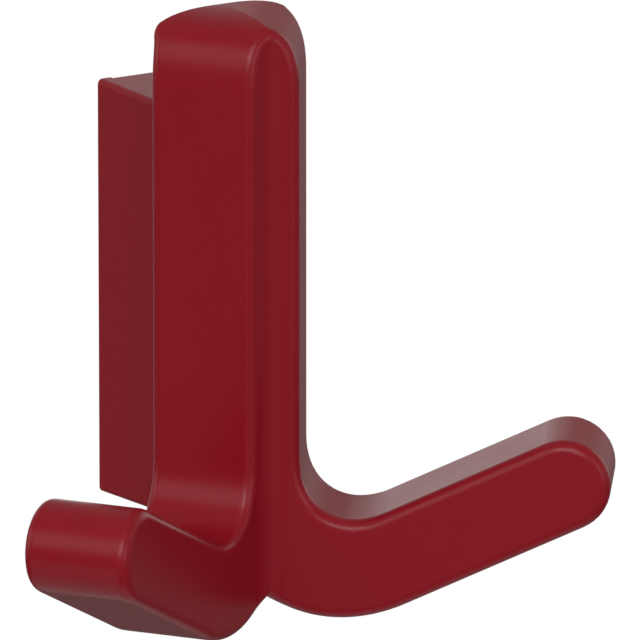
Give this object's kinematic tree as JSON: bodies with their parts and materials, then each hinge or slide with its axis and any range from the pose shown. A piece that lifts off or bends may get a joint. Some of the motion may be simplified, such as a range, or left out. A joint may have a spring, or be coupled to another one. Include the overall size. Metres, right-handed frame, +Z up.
{
  "type": "double hook",
  "caption": "Moulded double hook whose twin bars splay from a shared groove into rising arms, on a box housing that hides its wall bracket.",
  "frame": {"origin": "midway between the two screw holes, on the plane of the wall", "axes": "+Y into the wall, so the hook stands out towards -Y; +Z up; +X to the right for someone who faces the hook"},
  "size_m": [0.1096, 0.0702, 0.0989],
  "materials": {
    "red_nylon": "smooth satin gloss, dyed through",
    "bracket_steel": "zinc plated",
    "screw_steel": "plain stainless"
  },
  "bodies": {
    "root": {"hook_body": "red_nylon", "wall_bracket": "bracket_steel", "grub_screw": "screw_steel"}
  },
  "joints": []
}
